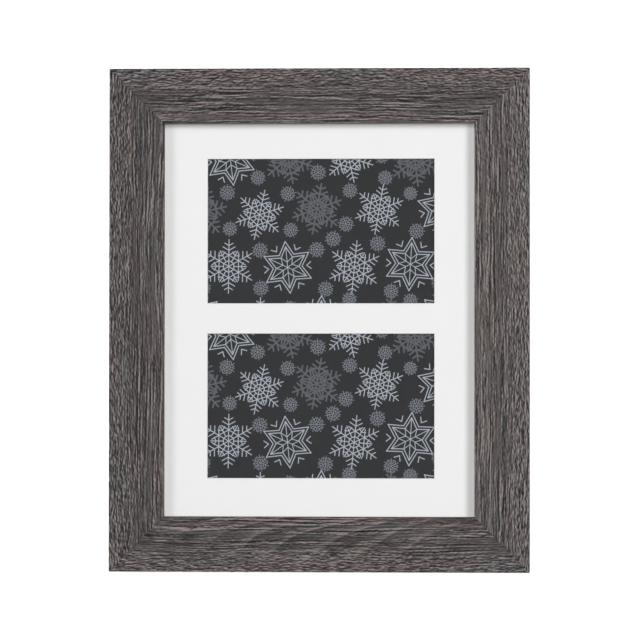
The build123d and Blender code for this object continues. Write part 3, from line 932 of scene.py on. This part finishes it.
def glass():
    """Pane with ground arrises, drawn a hair clear of the lip and of the mat so that no faces meet."""
    low, high = GLASS_LOW + GLASS_CLEARANCE, GLASS_HIGH - GLASS_CLEARANCE
    depths = (low[1], low[1] + GLASS_ARRIS, high[1] - GLASS_ARRIS, high[1])
    insets = (GLASS_ARRIS, 0, 0, GLASS_ARRIS)
    points = []
    for depth, inset in zip(depths, insets):
        left, right = low[0] + inset, high[0] - inset
        bottom, top = low[2] + inset, high[2] - inset
        points += [(left, depth, bottom), (right, depth, bottom), (right, depth, top), (left, depth, top)]
    sides = [
        [4 * loop + side, 4 * loop + 4 + side, 4 * loop + 4 + (side + 1) % 4, 4 * loop + (side + 1) % 4]
        for loop in range(len(depths) - 1)
        for side in range(4)
    ]
    pane = new_object("glass_sheet", points, [[0, 1, 2, 3], *sides, [15, 14, 13, 12]], [clear_glass()])
    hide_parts("glass_pane")
    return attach(pane, "frame")


# CAD nodes that keep their shape


def dress(names, material):
    """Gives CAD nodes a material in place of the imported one."""
    for name in names:
        node = frame["nodes"][name]
        if not node.material_slots:
            node.data.materials.append(material)
        for slot in node.material_slots:
            slot.link = "OBJECT"
            slot.material = material


def carried_nodes():
    """Materials of the CAD nodes whose shape is already right."""
    buttons = [name for name in frame["nodes"] if name.startswith("turn_button_")]
    hangers = ["hanger_portrait", "hanger_landscape"]
    hinge = ["hinge_back_leaf", "hinge_strut_leaf", "hinge_pin"]
    rivets = ["back_leaf_rivets", "strut_leaf_rivets"]
    dress(["mat_board"], white_mat())
    dress(["back_board"], black_hardboard("hardboard_lacquered"))
    dress(["strut_board"], black_hardboard("strut_hardboard_lacquered", -STRUT_ANGLE))
    dress(["filler_card"], plain_paper("grey_board_uncoated", GREY_BOARD, CARD_FLECK))
    dress(["print_tapes"], plain_paper("crepe_tape", CREPE_TAPE, CREPE_WRINKLE))
    dress(buttons, plated_steel("steel_zinc_plated_pressed", ZINC_PRESSED, 0.4))
    dress(hangers, plated_steel("steel_brass_plated_rolled", BRASS_ROLLED, 0.42))
    dress(["button_screws"], plated_steel("steel_brass_plated_turned", BRASS_TURNED, 0.27))
    dress(["hanger_nails", "mitre_nails"], plated_steel("steel_drawn_bright", STEEL_DRAWN, 0.35))
    dress(hinge, plated_steel("steel_zinc_plated_rolled", ZINC_ROLLED, 0.4))
    dress(rivets, plated_steel("steel_zinc_plated_headed", ZINC_HEADED, 0.25))


# Studio


# The camera's place beside, below and before the middle of the face, its turns, and its lens
CAMERA_DISTANCE = 2500.0
CAMERA_RIGHT = 130.0
CAMERA_RAISE = -43.6
CAMERA_YAW = math.radians(2.96)
CAMERA_PITCH = math.radians(0.996)
CAMERA_ROLL = math.radians(0.054)
CAMERA_LENS = 229.46

# The lights before the face: how far off they stand, in metres, and the angles that they span, in degrees to
# the right of the face's normal and above it. How wide and how near they are sets the shadows on the mat.
LIGHT_DISTANCE = 4.5
RIGHT_SPAN = (27, 45)
LEFT_SPAN = (-51, -31)
MIDDLE_SPAN = (0, 6)
RAISED_SPAN = (-6, 27)
RIGHT_POWER = 111.0
LEFT_POWER = 61.5
MIDDLE_POWER = 82.5

# Soft lights that face the foot of the frame: place and size in metres, and power in watts
FLOOR_SOFTBOX = ((0, 1.5, 3.0), 3.0, 20.0)
BACK_SOFTBOX = ((-1.2, 1.9, 1.5), 1.4, 75.0)
BACK_FILL = ((1.7, 1.5, 0.8), 1.4, 25.0)

# The floor's sun, and the backdrop's light on the frame and in the camera
SUN_ANGLE = math.radians(3)
SUN_STRENGTH = 9.5
WHITE = (1, 1, 1, 1)
AMBIENT_STRENGTH = 0.1
BACKDROP_STRENGTH = 1.0

# How far the floor and the camera's sight reach, in metres
FLOOR_REACH = 15.0
CAMERA_REACH = 50.0


def face_middle():
    """Middle of the frame's face, in metres on the upright frame."""
    return Vector((0, 0, FRAME_HEIGHT / 2)) * MM


def camera():
    """Camera nearly square to the face, a little to the right and below its middle."""
    data = bpy.data.cameras.new("camera")
    data.lens = CAMERA_LENS
    data.clip_end = CAMERA_REACH
    made = bpy.data.objects.new("camera", data)
    bpy.context.scene.collection.objects.link(made)
    place = Vector((CAMERA_RIGHT, -CAMERA_DISTANCE, FRAME_HEIGHT / 2 + CAMERA_RAISE)) * MM
    turn = Matrix.Rotation(CAMERA_YAW, 4, "Z") @ Matrix.Rotation(math.pi / 2 + CAMERA_PITCH, 4, "X")
    turn = turn @ Matrix.Rotation(CAMERA_ROLL, 4, "Z")
    made.matrix_world = TO_WORLD @ Matrix.Translation(place) @ turn
    bpy.context.scene.camera = made


def softbox(name, span, power):
    """Tall area light that faces the middle of the frame and spans the given angles."""
    right, above = math.radians(sum(span) / 2), math.radians(sum(RAISED_SPAN) / 2)
    data = bpy.data.lights.new(name, "AREA")
    data.shape = "RECTANGLE"
    data.size = 2 * LIGHT_DISTANCE * math.tan(math.radians(span[1] - span[0]) / 2)
    data.size_y = 2 * LIGHT_DISTANCE * math.tan(math.radians(RAISED_SPAN[1] - RAISED_SPAN[0]) / 2)
    data.energy = power
    made = bpy.data.objects.new(name, data)
    bpy.context.scene.collection.objects.link(made)
    turn = Matrix.Rotation(right, 4, "Z") @ Matrix.Rotation(math.pi / 2 - above, 4, "X")
    away = Matrix.Translation((0, 0, LIGHT_DISTANCE))
    made.matrix_world = TO_WORLD @ Matrix.Translation(face_middle()) @ turn @ away
    return made


def wide_light(name, kind, place, size, power):
    """Light that faces the foot of the frame: a square area, or a sun of the given angle."""
    data = bpy.data.lights.new(name, kind)
    if kind == "SUN":
        data.angle = size
    else:
        data.size = size
    data.energy = power
    made = bpy.data.objects.new(name, data)
    bpy.context.scene.collection.objects.link(made)
    aim = Vector(place).to_track_quat("Z", "Y").to_matrix().to_4x4()
    made.matrix_world = Matrix.Translation(place) @ aim
    return made


def link_lights(lights, name, ground, state):
    """Has lights reach the floor alone, or all but the floor."""
    group = bpy.data.collections.new(name)
    group.objects.link(ground)
    group.collection_objects[0].light_linking.link_state = state
    for light in lights:
        light.light_linking.receiver_collection = group


def floor_lights(ground):
    """Lights that keep the floor white and leave the frame alone; the sun shines from beside the camera."""
    sun_place = bpy.context.scene.camera.location
    sun = wide_light("floor_sun", "SUN", sun_place, SUN_ANGLE, SUN_STRENGTH)
    overhead = wide_light("floor_softbox", "AREA", *FLOOR_SOFTBOX)
    link_lights((sun, overhead), "floor_only", ground, "INCLUDE")


def back_lights(ground):
    """Soft lights behind the frame, which leave the floor alone."""
    key = wide_light("back_softbox", "AREA", *BACK_SOFTBOX)
    fill = wide_light("back_fill", "AREA", *BACK_FILL)
    link_lights((key, fill), "all_but_floor", ground, "EXCLUDE")


def floor():
    """Pale studio floor, which throws no light back onto the frame."""
    material, tree, shader = new_material("studio_floor", {"Roughness": 0.9, "Specular IOR Level": 0.0})
    shader.inputs["Base Color"].default_value = linear(STUDIO_WHITE)
    corners = [(-1, -1), (1, -1), (1, 1), (-1, 1)]
    mesh = bpy.data.meshes.new("studio_floor")
    mesh.from_pydata([(x * FLOOR_REACH, y * FLOOR_REACH, 0) for x, y in corners], [], [(0, 1, 2, 3)])
    mesh.materials.append(material)
    made = bpy.data.objects.new("studio_floor", mesh)
    bpy.context.scene.collection.objects.link(made)
    made.visible_diffuse = False
    return made


def backdrop():
    """Studio backdrop: white where it is seen, and only a faint light on the frame."""
    world = bpy.data.worlds.new("studio")
    bpy.context.scene.world = world
    world.use_nodes = True
    tree = world.node_tree
    tree.nodes.clear()
    ambient = add(tree, "ShaderNodeBackground", {"Color": WHITE, "Strength": AMBIENT_STRENGTH})
    seen = add(tree, "ShaderNodeBackground", {"Color": WHITE, "Strength": BACKDROP_STRENGTH})
    straight = add(tree, "ShaderNodeLightPath").outputs["Is Camera Ray"]
    links = {0: straight, 1: ambient.outputs["Background"], 2: seen.outputs["Background"]}
    both = add(tree, "ShaderNodeMixShader", links=links)
    add(tree, "ShaderNodeOutputWorld", links={"Surface": both.outputs["Shader"]})


def studio():
    """Backdrop, lights, camera and floor."""
    backdrop()
    bpy.context.scene.view_settings.view_transform = "Standard"
    softbox("right_softbox", RIGHT_SPAN, RIGHT_POWER)
    softbox("left_softbox", LEFT_SPAN, LEFT_POWER)
    # The glass would mirror the middle light over the prints.
    softbox("middle_softbox", MIDDLE_SPAN, MIDDLE_POWER).visible_glossy = False
    camera()
    ground = floor()
    floor_lights(ground)
    back_lights(ground)


rails()
glass()
prints()
carried_nodes()
studio()
